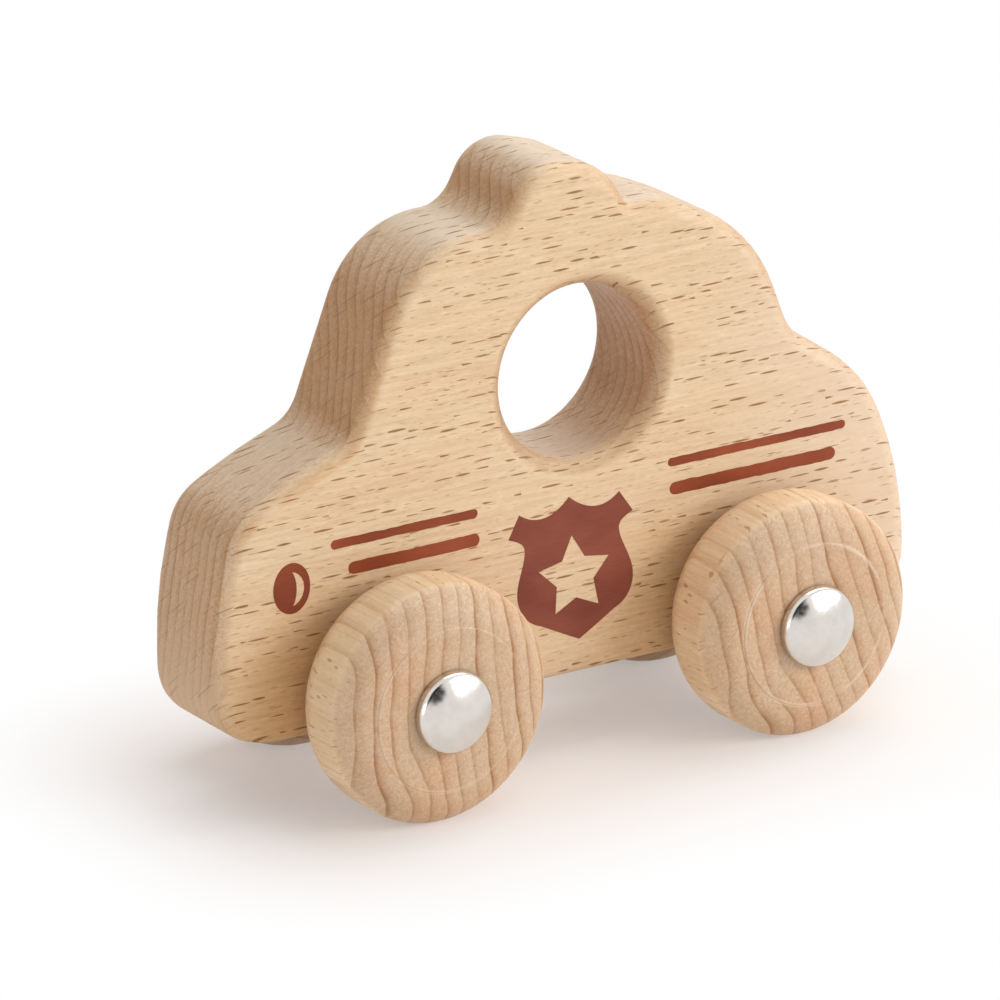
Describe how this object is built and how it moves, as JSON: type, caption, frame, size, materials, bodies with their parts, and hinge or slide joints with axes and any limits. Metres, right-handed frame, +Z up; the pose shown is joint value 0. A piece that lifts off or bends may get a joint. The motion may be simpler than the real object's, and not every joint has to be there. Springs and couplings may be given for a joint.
{
  "type": "push-along toy car",
  "caption": "Solid wooden push-along police car with a finger hole through the cabin and a siren on the roof; turned wheels spin on steel axles held by domed caps.",
  "frame": {"origin": "on the floor under the wheels, below the middle of the body's length and of its thickness", "axes": "+X from nose to tail, +Y to the car's right, +Z up"},
  "size_m": [0.1334, 0.0646, 0.1005],
  "materials": {
    "beech_body": "sanded and oiled beech, grain along the car",
    "beech_wheel": "turned beech, end grain on the faces",
    "steel_rod": "drawn steel rod",
    "bright_cap": "polished plated steel",
    "spring_steel": "dark spring steel"
  },
  "bodies": {
    "body": {"body": "beech_body"},
    "front_axle_set": {"axle_front": "steel_rod", "cap_front_left": "bright_cap", "cap_front_right": "bright_cap", "lock_front_left": "spring_steel", "lock_front_right": "spring_steel"},
    "rear_axle_set": {"axle_rear": "steel_rod", "cap_rear_left": "bright_cap", "cap_rear_right": "bright_cap", "lock_rear_left": "spring_steel", "lock_rear_right": "spring_steel"},
    "front_left_wheel": {"wheel_front_left": "beech_wheel"},
    "front_right_wheel": {"wheel_front_right": "beech_wheel"},
    "rear_left_wheel": {"wheel_rear_left": "beech_wheel"},
    "rear_right_wheel": {"wheel_rear_right": "beech_wheel"}
  },
  "joints": [
    {"name": "front_axle_spin", "type": "hinge", "parent": "body", "child": "front_axle_set", "pos_m": [-0.03435, 0, 0.02], "axis": [0, -1, 0], "continuous": true},
    {"name": "rear_axle_spin", "type": "hinge", "parent": "body", "child": "rear_axle_set", "pos_m": [0.03545, 0, 0.02], "axis": [0, -1, 0], "continuous": true},
    {"name": "front_left_wheel_spin", "type": "hinge", "parent": "front_axle_set", "child": "front_left_wheel", "pos_m": [-0.03435, 0, 0.02], "axis": [0, -1, 0], "continuous": true},
    {"name": "front_right_wheel_spin", "type": "hinge", "parent": "front_axle_set", "child": "front_right_wheel", "pos_m": [-0.03435, 0, 0.02], "axis": [0, -1, 0], "continuous": true},
    {"name": "rear_left_wheel_spin", "type": "hinge", "parent": "rear_axle_set", "child": "rear_left_wheel", "pos_m": [0.03545, 0, 0.02], "axis": [0, -1, 0], "continuous": true},
    {"name": "rear_right_wheel_spin", "type": "hinge", "parent": "rear_axle_set", "child": "rear_right_wheel", "pos_m": [0.03545, 0, 0.02], "axis": [0, -1, 0], "continuous": true}
  ]
}
